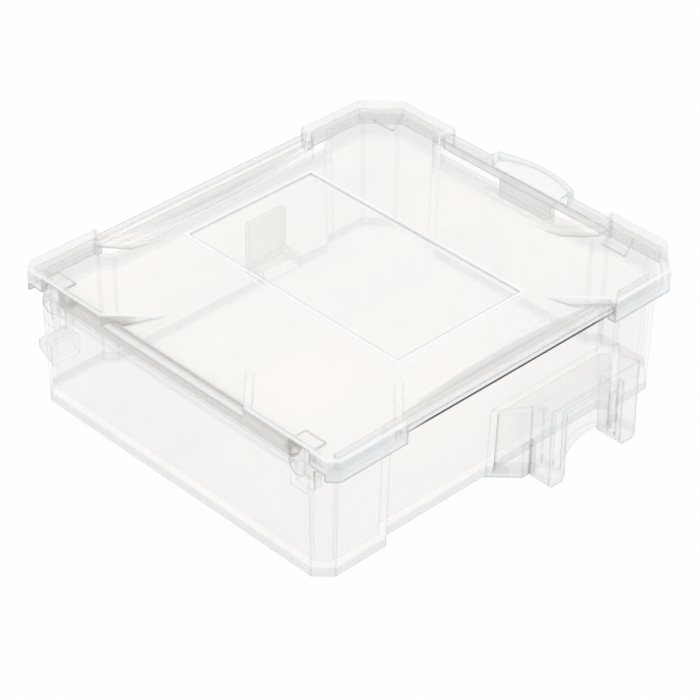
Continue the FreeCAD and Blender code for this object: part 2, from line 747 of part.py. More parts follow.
def lid_hinge(body, d, at):
    """The open back edge, the hinge roll with a socket at each end, and a slot for each ear."""
    relief_half = d.lid_width / 2 - d.lid_wall - d.hinge_gap - d.rim_step
    inner = at.axis_y - d.roll_radius - d.rim_step
    outer = d.lid_length / 2 + PAST
    shape_up(body, "Pocket", "hinge_relief", at.skirt_bottom - PAST, at.axis_z,
             box_plan(-relief_half, relief_half, inner, outer))
    roll_half = at.ear_place - d.ear_width / 2 - d.ear_play
    shape_along_x(body, "Pad", "hinge_roll", -roll_half, roll_half, Ring(at.axis_y, at.axis_z, d.roll_radius))
    slot_out = at.ear_place + d.ear_width / 2 + d.ear_play
    slot_in = at.axis_y - d.roll_radius - d.ear_play - d.rim_step
    for side, hand in ((1, "right"), (-1, "left")):
        slot = sided(side, box_plan(roll_half, slot_out, slot_in, outer))
        shape_up(body, "Pocket", f"ear_slot_{hand}", at.skirt_bottom - PAST, d.lid_top - d.ear_slot_roof, slot)
        socket_low = roll_half - d.pin_length if side > 0 else -roll_half - PAST
        socket = Ring(at.axis_y, at.axis_z, d.pin_radius + d.pin_fit)
        shape_along_x(body, "Pocket", f"socket_{hand}", socket_low, socket_low + d.pin_length + PAST, socket)


def lid_tab(body, d, at):
    """The thumb tab, and the latch tongue below it."""
    crest = d.lid_top - d.tab_crest_depth
    valley = d.lid_top - d.tab_valley_depth
    middle = d.lid_wall / 2 - at.latch_rim
    root = at.skirt_bottom + d.lid_wall / 2
    tab = [
        Bend(-at.tab_valley, valley, d.tab_hollow),
        (-at.tab_crest, crest),
        (-at.tab_reach, crest - d.tab_fall),
        (-at.tab_reach, crest - d.tab_fall - d.tab_lip),
        (middle, root),
        (middle, valley - d.plate / 2),
        (-at.tab_valley, valley - d.plate / 2),
    ]
    shape_along_x(body, "Pad", "thumb_tab", -d.tab_half, d.tab_half, tab)
    past = -at.tab_reach - PAST
    beyond = [
        Bend(d.tab_half, -at.tab_side_reach, d.tab_edge_radius),
        (-d.tab_half, -at.tab_side_reach),
        (-d.tab_half, past),
        (d.tab_half, past),
    ]
    shape_up(body, "Pocket", "thumb_tab_edge", at.skirt_bottom, d.lid_top, beyond)
    outside = -at.latch_rim
    inside = outside + d.tongue_wall
    bead_middle = at.tongue_low + d.tongue_wall / 2
    tongue = [
        (outside, root),
        (inside, root),
        (inside, bead_middle + d.tongue_wall / 2),
        (inside + d.tongue_bead, bead_middle),
        (inside, at.tongue_low),
        (outside, at.tongue_low),
    ]
    shape_along_x(body, "Pad", "latch_tongue", -d.tongue_half, d.tongue_half, tongue)


def lid_top_marks(body, d, at):
    """The bare label panel and the two raised arrows."""
    panel = box_plan(-d.panel_half, d.panel_half, -d.panel_latch, d.panel_hinge)
    shape_up(body, "Pocket", "label_panel", d.lid_top - d.panel_depth, d.lid_top + PAST, panel)
    arrow = [
        (at.arrow_place - d.arrow_half, -at.arrow_base),
        (at.arrow_place + d.arrow_half, -at.arrow_base),
        (at.arrow_place, -at.arrow_base - d.arrow_length),
    ]
    shape_up(body, "Pad", "arrows", d.lid_top, d.lid_top + d.arrow_height, arrow, sided(-1, arrow))


def make_lid(document, d, at):
    body = document.addObject("PartDesign::Body", "lid")
    block = shape_up(body, "Pad", "lid_block", at.skirt_bottom, d.lid_top, lid_outline(d, as_size(0)))
    round_edges(body, "lid_corners", block, d.corner_round, is_upright)
    scooped = combine(body, "Cut", "scooped", scoops(document, d, at, False))
    top = d.lid_top.value
    round_edges(body, "top_edges", scooped, d.top_round, lambda edge: is_flat_at(edge, top))
    combine(body, "Cut", "hollowed", [lid_hollow(document, d, at)])
    lid_side_lips(body, d, at)
    lid_hinge(body, d, at)
    lid_tab(body, d, at)
    lid_top_marks(body, d, at)
    return body


def check(document, bodies):
    """Stop if any feature failed or a sub-part isn't one sound solid."""
    document.recompute()
    for feature in document.Objects:
        if "Invalid" in feature.State or "Error" in feature.State:
            raise ValueError(f"{feature.Label}: {feature.State}")
    for body in bodies:
        if body.Shape.isNull() or not body.Shape.isValid() or len(body.Shape.Solids) != 1:
            raise ValueError(f"{body.Label} isn't one sound solid")


document = FreeCAD.newDocument("parts_box")
sizes = Sizes(document, SIZES)
levels = Levels(sizes)
sub_parts = [make_tray(document, sizes, levels), make_lid(document, sizes, levels)]
check(document, sub_parts)
os.makedirs("parts", exist_ok=True)
for sub_part in sub_parts:
    sub_part.Shape.exportStep(f"parts/{sub_part.Label}.step")
    print(sub_part.Label, round(sub_part.Shape.Volume), sub_part.Shape.BoundBox)
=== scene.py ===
import math
from collections import namedtuple

import bpy
from bpy.props import FloatProperty, FloatVectorProperty, PointerProperty
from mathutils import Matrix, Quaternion, Vector


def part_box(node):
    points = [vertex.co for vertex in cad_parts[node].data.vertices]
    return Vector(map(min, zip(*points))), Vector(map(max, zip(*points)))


bl_info = {
    "name": "Parts Box Looks",
    "version": (1, 0, 0),
    "blender": (4, 5, 0),
    "location": "3D View > Sidebar > Parts Box",
    "description": "Frosted plastic for a small parts box with a hinged lid, on a white studio floor",
    "category": "Object",
}

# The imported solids, and the room that they take
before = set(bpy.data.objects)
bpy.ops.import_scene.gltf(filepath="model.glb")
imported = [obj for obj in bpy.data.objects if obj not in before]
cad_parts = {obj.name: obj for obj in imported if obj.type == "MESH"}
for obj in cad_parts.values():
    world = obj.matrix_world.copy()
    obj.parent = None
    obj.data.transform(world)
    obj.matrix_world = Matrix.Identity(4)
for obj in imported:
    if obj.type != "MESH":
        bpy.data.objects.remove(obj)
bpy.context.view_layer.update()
LID_LOW, LID_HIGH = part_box("lid")
TRAY_LOW, TRAY_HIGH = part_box("tray")
LID_SIDE, LID_END, LID_TOP = LID_HIGH
LID_BOTTOM = LID_LOW[2]
TRAY_BOTTOM = TRAY_LOW[2]
TRAY_TOP = TRAY_HIGH[2]

IMAGE_SIDE = 700
SENSOR_WIDTH = 36.0
MILLIMETRE = 0.001
LIGHT_BOUNCES = 32
SKINS_SEEN_THROUGH = 64
NEAREST_SEEN = 0.01
FARTHEST_SEEN = 20.0
FLOOR_SIDE = 6.0
FLOOR_GAP = 0.02 * MILLIMETRE
WHITE = (1.0, 1.0, 1.0, 1.0)

# The skin of the plastic, and the marks on it
PLASTIC_IOR = 1.49
EDGE_SAMPLES = 2
NOISE_MIDDLE = 0.5
SHEEN_SPREAD = 0.06
CLOUD_SHARE = 0.7
STREAK_SHARE = 0.3
SCUFF_SHEEN = 0.12
TRAY_SCUFFS = 0.3
LID_SCUFFS = 0.5

# Where the plastic is thick or lies double, with painted shade there; PAST_ALL is further out than any
# piece
BAND_FADE = 0.6 * MILLIMETRE
FLOOR_EDGE = 3.0 * MILLIMETRE
RIM_START = 22.4 * MILLIMETRE
SKIRT_DROP = 2.6 * MILLIMETRE
TRAY_SIDE = 40.4 * MILLIMETRE
LID_WALL = 1.8 * MILLIMETRE
PAST_ALL = 1.0

# Painted shade in the finger hollows along the lid's sides, painted shadow on the lips below them, and
# painted shade on the roll at the hinge
HOLLOW_MIDDLE = 2.1 * MILLIMETRE
HOLLOW_HALF = 28.0 * MILLIMETRE
HOLLOW_SET = 3.8 * MILLIMETRE
HOLLOW_REACH = 2.6 * MILLIMETRE
HOLLOW_DROP = 1.6 * MILLIMETRE
LIP_SET = 1.5 * MILLIMETRE
LIP_DROP = 3.1 * MILLIMETRE
ROLL_WIDTH = 5.0 * MILLIMETRE
ROLL_HALF = 37.0 * MILLIMETRE

# The label panel of the lid, and the painted highlight on the rim round it
PANEL_MIDDLE = 1.8 * MILLIMETRE
PANEL_HALF_WIDTH = 28.5 * MILLIMETRE
PANEL_HALF_LENGTH = 16.0 * MILLIMETRE
PANEL_RIM = 0.8 * MILLIMETRE
RIM_FADE = 0.1 * MILLIMETRE

# How one moulding differs from the other; own_layers adds what only one of them has
Look = namedtuple("Look", "veil edge_veil bands clear lower_below lower_tint own_layers scuffs")


class PlasticFinish(bpy.types.PropertyGroup):
    """The frosted plastic of both mouldings, with its painted highlight, painted shade and painted shadow.
    """

    tint: FloatVectorProperty(
        name="Tint", description="Warm colour of the milky veil in a wall",
        subtype="COLOR", size=4, min=0.0, max=1.0, default=(1.0, 0.945, 0.895, 1.0))
    cloud_tint: FloatVectorProperty(
        name="Cloud tint", description="Colour of the veil where the plastic clouds over",
        subtype="COLOR", size=4, min=0.0, max=1.0, default=(0.9, 0.88, 0.855, 1.0))
    # Partly thick plastic and partly painted shade: cool grey where layers lie double, along the foot and
    # under the tray's lower edges
    thick_and_shade_tint: FloatVectorProperty(
        name="Thick and shade tint", description="Cool grey of thick or doubled plastic",
        subtype="COLOR", size=4, min=0.0, max=1.0, default=(0.68, 0.71, 0.725, 1.0))
    outer_tint: FloatVectorProperty(
        name="Outer tint", description="Pale grey of the clip, the tab and the lid's outer wall",
        subtype="COLOR", size=4, min=0.0, max=1.0, default=(0.87, 0.89, 0.9, 1.0))
    # Painted highlight: white on the upper edges and on the rim of the label panel
    highlight_tint: FloatVectorProperty(
        name="Highlight tint", description="White of the upper edges, which catch the light",
        subtype="COLOR", size=4, min=0.0, max=1.0, default=(0.98, 0.98, 0.98, 1.0))
    # Painted shade: grey on the upright edges
    post_shade_tint: FloatVectorProperty(
        name="Post shade tint", description="Grey of the upright edges",
        subtype="COLOR", size=4, min=0.0, max=1.0, default=(0.46, 0.44, 0.42, 1.0))
    # Painted shade: warm grey on the lid's roll at the hinge
    roll_shade_tint: FloatVectorProperty(
        name="Roll shade tint", description="Warm grey of the lid's roll at the hinge",
        subtype="COLOR", size=4, min=0.0, max=1.0, default=(0.68, 0.655, 0.62, 1.0))
    # Painted shadow: the dark line along the lid's lower edges and lips, where the gap to the tray lies in
    # shade
    gap_shadow_tint: FloatVectorProperty(
        name="Gap shadow tint", description="Dark line along the lid's lower edges",
        subtype="COLOR", size=4, min=0.0, max=1.0, default=(0.06, 0.06, 0.055, 1.0))
    # Painted shade standing for finger hollows that the geometry does not carry
    hollow_shade_tint: FloatVectorProperty(
        name="Hollow shade tint", description="Grey of the finger hollows along the lid's sides",
        subtype="COLOR", size=4, min=0.0, max=1.0, default=(0.6, 0.6, 0.58, 1.0))
    veil: FloatProperty(
        name="Tray veil", description="Share of light that one skin of the tray scatters",
        subtype="FACTOR", min=0.0, max=1.0, default=0.14)
    lid_veil: FloatProperty(
        name="Lid veil", description="Share of light that one skin of the lid scatters",
        subtype="FACTOR", min=0.0, max=1.0, default=0.2)
    cloud_veil: FloatProperty(
        name="Cloud veil", description="Veil added where the plastic clouds over",
        subtype="FACTOR", min=0.0, max=1.0, default=0.03)
    # Density of the thick plastic and painted shade along the tray's foot and the lid's skirt
    thick_and_shade_veil: FloatProperty(
        name="Thick and shade veil", description="Veil added along the tray's foot and on the lid's skirt",
        subtype="FACTOR", min=0.0, max=1.0, default=0.28)
    # Density of the painted shade along the tray's upper edge, where the lid's skirt lies over it
    shoulder_shade_veil: FloatProperty(
        name="Shoulder shade veil", description="Veil added along the tray's upper edge, inside the lid",
        subtype="FACTOR", min=0.0, max=1.0, default=0.12)
    outer_veil: FloatProperty(
        name="Outer veil", description="Veil added on the clip, the tab and the lid's outer wall",
        subtype="FACTOR", min=0.0, max=1.0, default=0.11)
    # Density of the painted highlight on the upper edges
    edge_veil: FloatProperty(
        name="Tray highlight veil", description="Veil added along the tray's upper edges",
        subtype="FACTOR", min=0.0, max=1.0, default=0.16)
    lid_highlight_veil: FloatProperty(
        name="Lid highlight veil", description="Veil added along the lid's upper edges",
        subtype="FACTOR", min=0.0, max=1.0, default=0.65)
    # Density of the painted shade on the upright edges
    post_shade_veil: FloatProperty(
        name="Post shade veil", description="Veil added along the upright edges",
        subtype="FACTOR", min=0.0, max=1.0, default=0.3)
    # Density of the painted shade on the hinge roll
    roll_shade_veil: FloatProperty(
        name="Roll shade veil", description="Veil added on the lid's roll at the hinge",
        subtype="FACTOR", min=0.0, max=1.0, default=0.2)
    # Density of the painted shadow on the lower outer edge of the lid's lips
    lip_shadow_veil: FloatProperty(
        name="Lip shadow veil", description="Veil added on the lower edge of the lid's side lips",
        subtype="FACTOR", min=0.0, max=1.0, default=0.45)
    # Density of the painted shadow along the lower edges of both mouldings
    lower_shadow_veil: FloatProperty(
        name="Lower shadow veil", description="Veil added along the lower edges",
        subtype="FACTOR", min=0.0, max=1.0, default=0.8)
    # Density of the painted shade in the finger hollows
    hollow_shade_veil: FloatProperty(
        name="Hollow shade veil", description="Veil added in the finger hollows",
        subtype="FACTOR", min=0.0, max=1.0, default=0.26)
    # Density of the painted highlight on the rim of the label panel
    rim_highlight_veil: FloatProperty(
        name="Panel rim highlight veil", description="Veil added along the rim of the label panel",
        subtype="FACTOR", min=0.0, max=1.0, default=0.45)
    roughness: FloatProperty(
        name="Roughness", description="Roughness of the satin skin",
        subtype="FACTOR", min=0.0, max=1.0, default=0.28)
    edge_round: FloatProperty(
        name="Edge rounding", description="Rounding of the moulded edges",
        unit="LENGTH", default=0.7 * MILLIMETRE)
    grain_size: FloatProperty(
        name="Grain size", description="Size of the grain in the skin",
        unit="LENGTH", default=0.35 * MILLIMETRE)
    grain_depth: FloatProperty(
        name="Grain depth", description="Depth of the grain in the skin",
        unit="LENGTH", default=0.008 * MILLIMETRE)


class StudioSettings(bpy.types.PropertyGroup):
    """Camera, floor and light."""

    azimuth: FloatProperty(
        name="Azimuth", description="Camera's place round the box",
        subtype="ANGLE", default=math.radians(225.903))
    elevation: FloatProperty(
        name="Elevation", description="Camera above the horizon",
        subtype="ANGLE", default=math.radians(35.422))
    roll: FloatProperty(
        name="Roll", description="Camera's turn about its own axis",
        subtype="ANGLE", default=math.radians(0.437))
    distance: FloatProperty(
        name="Distance", description="Camera to the point it looks at",
        unit="LENGTH", default=0.5829)
    aim: FloatVectorProperty(
        name="Aim", description="Point in the middle of the picture",
        subtype="XYZ", unit="LENGTH", default=(-0.005522, 0.007638, 0.015))
    focal_pixels: FloatProperty(
        name="Focal length", description="Focal length in pixels of the picture", default=3062.34)
    floor_colour: FloatVectorProperty(
        name="Floor", description="Colour of the floor",
        subtype="COLOR", size=4, min=0.0, max=1.0, default=(0.86, 0.86, 0.86, 1.0))
    floor_white: FloatProperty(
        name="White floor", description="Share of plain white that the camera sees on the floor",
        subtype="FACTOR", min=0.0, max=1.0, default=0.95)
    sky: FloatProperty(
        name="Room light", description="Strength of the light from the white room", min=0.0, default=0.96)
    sky_colour: FloatVectorProperty(
        name="Room colour", description="Colour of the light from the white room",
        subtype="COLOR", size=4, min=0.0, max=1.0, default=(0.98, 0.99, 1.0, 1.0))
    key_power: FloatProperty(
        name="Key light", description="Power of the large soft light", unit="POWER", default=0.5)
    fill_power: FloatProperty(
        name="Fill light", description="Power of the low side light", unit="POWER", default=0.4)


def new_group(name, inputs, outputs):
    """An empty shader node group with the named sockets, and its two end nodes."""
    group = bpy.data.node_groups.new(name, "ShaderNodeTree")
    for label, kind in inputs:
        group.interface.new_socket(name=label, in_out="INPUT", socket_type=kind)
    for label, kind in outputs:
        group.interface.new_socket(name=label, in_out="OUTPUT", socket_type=kind)
    start = group.nodes.new("NodeGroupInput")
    end = group.nodes.new("NodeGroupOutput")
    return group, start, end


def link(tree, source, target):
    """Joins an output to an input."""
    tree.links.new(source, target)


def math_node(tree, operation, first, second=None):
    """A math node; each input is a socket or a plain number."""
    node = tree.nodes.new("ShaderNodeMath")
    node.operation = operation
    for socket, value in zip(node.inputs, (first, second)):
        if isinstance(value, bpy.types.NodeSocket):
            link(tree, value, socket)
        elif value is not None:
            socket.default_value = value
    return node.outputs["Value"]


def noise(tree, vector, scale, detail, stretch=None):
    """Soft noise over the object's own coordinates; stretch draws it out along an axis."""
    if stretch is not None:
        mapping = tree.nodes.new("ShaderNodeMapping")
        mapping.inputs["Scale"].default_value = stretch
        link(tree, vector, mapping.inputs["Vector"])
        vector = mapping.outputs["Vector"]
    node = tree.nodes.new("ShaderNodeTexNoise")
    node.inputs["Detail"].default_value = detail
    link(tree, vector, node.inputs["Vector"])
    if isinstance(scale, bpy.types.NodeSocket):
        link(tree, scale, node.inputs["Scale"])
    else:
        node.inputs["Scale"].default_value = scale
    return node.outputs["Fac"]


def mask(tree, value, none_at, full_at):
    """0 up to one value, 1 from another on, and a slope between them."""
    node = tree.nodes.new("ShaderNodeMapRange")
    link(tree, value, node.inputs["Value"])
    node.inputs["From Min"].default_value = none_at
    node.inputs["From Max"].default_value = full_at
    return node.outputs["Result"]


def mix_colour(tree, share, first, second):
    """The first colour, and the second where the share is 1; each a socket or a plain colour."""
    node = tree.nodes.new("ShaderNodeMixRGB")
    link(tree, share, node.inputs["Fac"])
    for socket, colour in ((node.inputs["Color1"], first), (node.inputs["Color2"], second)):
        if isinstance(colour, bpy.types.NodeSocket):
            link(tree, colour, socket)
        else:
            socket.default_value = colour
    return node.outputs["Color"]


def coordinates(tree, output):
    """The three parts of one output of the texture coordinates."""
    split = tree.nodes.new("ShaderNodeSeparateXYZ")
    link(tree, tree.nodes.new("ShaderNodeTexCoord").outputs[output], split.inputs["Vector"])
    return split.outputs["X"], split.outputs["Y"], split.outputs["Z"]


def facing_up(tree):
    """A mask of the faces that look up."""
    _, _, rise = coordinates(tree, "Normal")
    return mask(tree, rise, none_at=0.5, full_at=0.8)


def build_moulded_edges():
    """The rounding that a mould leaves: its normal, and masks for painted highlight on upper edges, painted
    shade on upright edges and painted shadow on lower edges.
    """
    group, start, end = new_group(
        "moulded_edges",
        [("Radius", "NodeSocketFloat"), ("Lower Below", "NodeSocketFloat")],
        [("Normal", "NodeSocketVector"), ("Upper", "NodeSocketFloat"), ("Upright", "NodeSocketFloat"),
         ("Lower", "NodeSocketFloat")])
    rounded = group.nodes.new("ShaderNodeBevel")
    rounded.samples = EDGE_SAMPLES
    link(group, start.outputs["Radius"], rounded.inputs["Radius"])
    turn = group.nodes.new("ShaderNodeVectorMath")
    turn.operation = "DOT_PRODUCT"
    link(group, rounded.outputs["Normal"], turn.inputs[0])
    link(group, group.nodes.new("ShaderNodeNewGeometry").outputs["Normal"], turn.inputs[1])
    edge = mask(group, turn.outputs["Value"], none_at=0.99, full_at=0.82)
    own = group.nodes.new("ShaderNodeVectorTransform")
    own.vector_type = "NORMAL"
    own.convert_from = "WORLD"
    own.convert_to = "OBJECT"
    link(group, rounded.outputs["Normal"], own.inputs["Vector"])
    split = group.nodes.new("ShaderNodeSeparateXYZ")
    link(group, own.outputs["Vector"], split.inputs["Vector"])
    rise = split.outputs["Z"]
    sloped = mask(group, rise, none_at=0.1, full_at=0.35)
    not_flat = mask(group, rise, none_at=0.86, full_at=0.7)
    # Painted highlight mask: upper edges and the rounded shoulders of the top faces
    upper = math_node(group, "MULTIPLY", edge, mask(group, rise, none_at=0.05, full_at=0.2))
    upper = math_node(group, "MAXIMUM", upper, math_node(group, "MULTIPLY", sloped, not_flat))
    level = math_node(group, "ABSOLUTE", rise)
    # Painted shade mask: upright edges
    upright = math_node(group, "MULTIPLY", edge, mask(group, level, none_at=0.2, full_at=0.05))
    # Painted shadow mask: lower edges, only below the given height
    lower = math_node(group, "MULTIPLY", edge, mask(group, rise, none_at=-0.15, full_at=-0.45))
    _, _, height = coordinates(group, "Object")
    low = math_node(group, "LESS_THAN", height, start.outputs["Lower Below"])
    link(group, rounded.outputs["Normal"], end.inputs["Normal"])
    link(group, upper, end.inputs["Upper"])
    link(group, upright, end.inputs["Upright"])
    link(group, math_node(group, "MULTIPLY", lower, low), end.inputs["Lower"])
    return group


def build_outer_zone():
    """What lies outside a rectangle in plan, such as the lid's outer walls or the clip."""
    group, start, end = new_group(
        "outer_zone",
        [("Middle", "NodeSocketFloat"), ("Half Width", "NodeSocketFloat"),
         ("Half Length", "NodeSocketFloat"), ("Fade", "NodeSocketFloat")],
        [("Mask", "NodeSocketFloat")])
    across, along, _ = coordinates(group, "Object")
    aside = math_node(group, "ABSOLUTE", across)
    aside = math_node(group, "SUBTRACT", aside, start.outputs["Half Width"])
    ahead = math_node(group, "ABSOLUTE", math_node(group, "SUBTRACT", along, start.outputs["Middle"]))
    ahead = math_node(group, "SUBTRACT", ahead, start.outputs["Half Length"])
    past = math_node(group, "DIVIDE", math_node(group, "MAXIMUM", aside, ahead), start.outputs["Fade"])
    link(group, mask(group, past, none_at=0.0, full_at=1.0), end.inputs["Mask"])
    return group


def build_thick_and_shade_band():
    """A band between two heights on the upright faces, where the plastic is thick or lies double; it
    carries both the grey of thick plastic and painted shade.
    """
    group, start, end = new_group(
        "thick_and_shade_band",
        [("Low", "NodeSocketFloat"), ("High", "NodeSocketFloat"), ("Fade", "NodeSocketFloat")],
        [("Mask", "NodeSocketFloat")])
    _, _, height = coordinates(group, "Object")
    above = math_node(group, "SUBTRACT", height, start.outputs["Low"])
    below = math_node(group, "SUBTRACT", start.outputs["High"], height)
    within = math_node(group, "DIVIDE", math_node(group, "MINIMUM", above, below), start.outputs["Fade"])
    within = mask(group, within, none_at=0.0, full_at=1.0)
    _, _, rise = coordinates(group, "Normal")
    upright = mask(group, math_node(group, "ABSOLUTE", rise), none_at=0.5, full_at=0.2)
    link(group, math_node(group, "MULTIPLY", within, upright), end.inputs["Mask"])
    return group


def build_mould_skin():
    """The skin that the mould leaves: fine grain for the bump, and a patchy sheen."""
    group, start, end = new_group(
        "mould_skin",
        [("Grain Size", "NodeSocketFloat")],
        [("Height", "NodeSocketFloat"), ("Sheen", "NodeSocketFloat")])
    place = group.nodes.new("ShaderNodeTexCoord").outputs["Object"]
    scale = math_node(group, "DIVIDE", 1.0, start.outputs["Grain Size"])
    link(group, noise(group, place, scale, detail=1.0), end.inputs["Height"])
    patches = noise(group, place, scale=90.0, detail=1.0)
    patches = math_node(group, "SUBTRACT", patches, NOISE_MIDDLE)
    link(group, math_node(group, "MULTIPLY", patches, SHEEN_SPREAD), end.inputs["Sheen"])
    return group


def build_flow_cloud():
    """Faint clouds and streaks in the plastic, drawn out the way that it flowed into the mould."""
    group, start, end = new_group(
        "flow_cloud",
        [("Clear", "NodeSocketColor"), ("Cloudy", "NodeSocketColor")],
        [("Color", "NodeSocketColor"), ("Cloud", "NodeSocketFloat")])
    place = group.nodes.new("ShaderNodeTexCoord").outputs["Object"]
    clouds = noise(group, place, scale=38.0, detail=2.0, stretch=(1.0, 0.45, 0.8))
    streaks = noise(group, place, scale=160.0, detail=1.0, stretch=(1.0, 0.12, 0.3))
    clouds = math_node(group, "MULTIPLY", clouds, CLOUD_SHARE)
    streaks = math_node(group, "MULTIPLY", streaks, STREAK_SHARE)
    cloud = mask(group, math_node(group, "ADD", clouds, streaks), none_at=0.38, full_at=0.68)
    colour = mix_colour(group, cloud, start.outputs["Clear"], start.outputs["Cloudy"])
    link(group, colour, end.inputs["Color"])
    link(group, cloud, end.inputs["Cloud"])
    return group


def build_handling_marks():
    """Hair-thin scuffs from boxes that slide over each other."""
    group, start, end = new_group(
        "handling_marks",
        [("Amount", "NodeSocketFloat")],
        [("Height", "NodeSocketFloat"), ("Sheen", "NodeSocketFloat")])
    place = group.nodes.new("ShaderNodeTexCoord").outputs["Object"]
    lines = noise(group, place, scale=900.0, detail=0.0, stretch=(1.0, 0.02, 0.3))
    patches = noise(group, place, scale=45.0, detail=0.0)
    thin = mask(group, lines, none_at=0.66, full_at=0.72)
    worn = mask(group, patches, none_at=0.5, full_at=0.65)
    marks = math_node(group, "MULTIPLY", thin, worn)
    marks = math_node(group, "MULTIPLY", marks, start.outputs["Amount"])
    link(group, marks, end.inputs["Height"])
    link(group, math_node(group, "MULTIPLY", marks, SCUFF_SHEEN), end.inputs["Sheen"])
    return group


def place_group(tree, name, build, **values):
    """A node of the shared group, built at its first use, with its inputs set by name."""
    node = tree.nodes.new("ShaderNodeGroup")
    node.node_tree = bpy.data.node_groups.get(name) or build()
    for label, value in values.items():
        node.inputs[label.replace("_", " ").title()].default_value = value
    return node


def layer(tree, colour, veil, where, tint, share):
    """Colour and veil with one more tint where its mask is 1."""
    colour = mix_colour(tree, where, colour, tint)
    veil = math_node(tree, "ADD", veil, math_node(tree, "MULTIPLY", where, share))
    return colour, veil


def hollow_shade_masks(tree):
    """Masks for painted shade in the lens-shaped hollow along each side of the lid, and for painted shadow
    on the outside of the lip there.
    """
    across, along, height = coordinates(tree, "Object")
    aside = math_node(tree, "ABSOLUTE", across)
    share = math_node(tree, "DIVIDE", math_node(tree, "SUBTRACT", along, HOLLOW_MIDDLE), HOLLOW_HALF)
    bow = math_node(tree, "SUBTRACT", 1.0, math_node(tree, "MULTIPLY", share, share))
    outer_line = LID_SIDE - HOLLOW_SET
    inner_line = math_node(tree, "SUBTRACT", outer_line, math_node(tree, "MULTIPLY", bow, HOLLOW_REACH))
    past_inner = mask(tree, math_node(tree, "SUBTRACT", aside, inner_line), none_at=0.0, full_at=BAND_FADE)
    before_outer = mask(tree, aside, none_at=outer_line + BAND_FADE, full_at=outer_line)
    lens = math_node(tree, "MULTIPLY", past_inner, before_outer)
    sunk = math_node(tree, "LESS_THAN", height, LID_TOP - HOLLOW_DROP)
    lens = math_node(tree, "MULTIPLY", lens, math_node(tree, "MULTIPLY", sunk, facing_up(tree)))
    # Painted shadow mask: the outward face of the lip, low down, beside the hollow
    at_lip = math_node(tree, "GREATER_THAN", aside, LID_SIDE - LIP_SET)
    below = math_node(tree, "LESS_THAN", height, LID_TOP - LIP_DROP)
    look_aside, _, _ = coordinates(tree, "Normal")
    outward = math_node(tree, "GREATER_THAN", math_node(tree, "MULTIPLY", across, look_aside), 0.0)
    lip = math_node(tree, "MULTIPLY", math_node(tree, "MULTIPLY", at_lip, below), outward)
    lip = math_node(tree, "MULTIPLY", lip, mask(tree, bow, none_at=0.0, full_at=0.4))
    return lens, lip


def roll_shade_mask(tree):
    """A mask for painted shade on the upright faces of the lid's roll at the hinge, between the ears."""
    across, along, _ = coordinates(tree, "Object")
    _, _, rise = coordinates(tree, "Normal")
    roll_start = LID_END - ROLL_WIDTH
    at_hinge = mask(tree, along, none_at=roll_start, full_at=roll_start + BAND_FADE)
    between = math_node(tree, "LESS_THAN", math_node(tree, "ABSOLUTE", across), ROLL_HALF)
    upright = mask(tree, rise, none_at=0.5, full_at=0.2)
    return math_node(tree, "MULTIPLY", math_node(tree, "MULTIPLY", at_hinge, between), upright)


def panel_rim_highlight(tree):
    """A mask for the painted highlight on the narrow rim round the lid's label panel."""
    past_panel = place_group(
        tree, "outer_zone", build_outer_zone, middle=PANEL_MIDDLE, fade=RIM_FADE,
        half_width=PANEL_HALF_WIDTH, half_length=PANEL_HALF_LENGTH)
    past_rim = place_group(
        tree, "outer_zone", build_outer_zone, middle=PANEL_MIDDLE, fade=RIM_FADE,
        half_width=PANEL_HALF_WIDTH + PANEL_RIM, half_length=PANEL_HALF_LENGTH + PANEL_RIM)
    ring = math_node(tree, "SUBTRACT", past_panel.outputs["Mask"], past_rim.outputs["Mask"])
    return math_node(tree, "MULTIPLY", ring, facing_up(tree))


def lid_layers(tree, finish, colour, veil):
    """What only the lid has: painted shade on the hinge roll and in the finger hollows, painted shadow on
    the lips, and a painted highlight on the panel's rim.
    """
    colour, veil = layer(tree, colour, veil, roll_shade_mask(tree), finish.roll_shade_tint, finish.roll_shade_veil)
    lens, lip = hollow_shade_masks(tree)
    colour, veil = layer(tree, colour, veil, lens, finish.hollow_shade_tint, finish.hollow_shade_veil)
    colour, veil = layer(tree, colour, veil, lip, finish.gap_shadow_tint, finish.lip_shadow_veil)
    return layer(tree, colour, veil, panel_rim_highlight(tree), finish.highlight_tint, finish.rim_highlight_veil)


def veil_layers(tree, finish, look, edges):
    """Colour and density of the milky veil: clouds, thick bands with painted shade, outer walls, then
    painted highlight, shade and shadow on the edges.
    """
    clouds = place_group(tree, "flow_cloud", build_flow_cloud, clear=finish.tint, cloudy=finish.cloud_tint)
    colour = clouds.outputs["Color"]
    veil = math_node(tree, "MULTIPLY", clouds.outputs["Cloud"], finish.cloud_veil)
    veil = math_node(tree, "ADD", veil, look.veil)
    for low, high, share in look.bands:
        band = place_group(tree, "thick_and_shade_band", build_thick_and_shade_band, low=low, high=high, fade=BAND_FADE)
        colour, veil = layer(tree, colour, veil, band.outputs["Mask"], finish.thick_and_shade_tint, share)
    half_width, half_length = look.clear
    outer = place_group(
        tree, "outer_zone", build_outer_zone,
        half_width=half_width, half_length=half_length, fade=BAND_FADE)
    colour, veil = layer(tree, colour, veil, outer.outputs["Mask"], finish.outer_tint, finish.outer_veil)
    # Painted highlight on upper edges, painted shade on upright edges, painted shadow on lower edges
    colour, veil = layer(tree, colour, veil, edges.outputs["Upper"], finish.highlight_tint, look.edge_veil)
    # Painted shade on the upright edges
    colour, veil = layer(tree, colour, veil, edges.outputs["Upright"], finish.post_shade_tint, finish.post_shade_veil)
    # Painted shadow on the lower edges
    colour, veil = layer(tree, colour, veil, edges.outputs["Lower"], look.lower_tint, finish.lower_shadow_veil)
    if look.own_layers is not None:
        colour, veil = look.own_layers(tree, finish, colour, veil)
    return colour, math_node(tree, "MINIMUM", veil, 1.0)


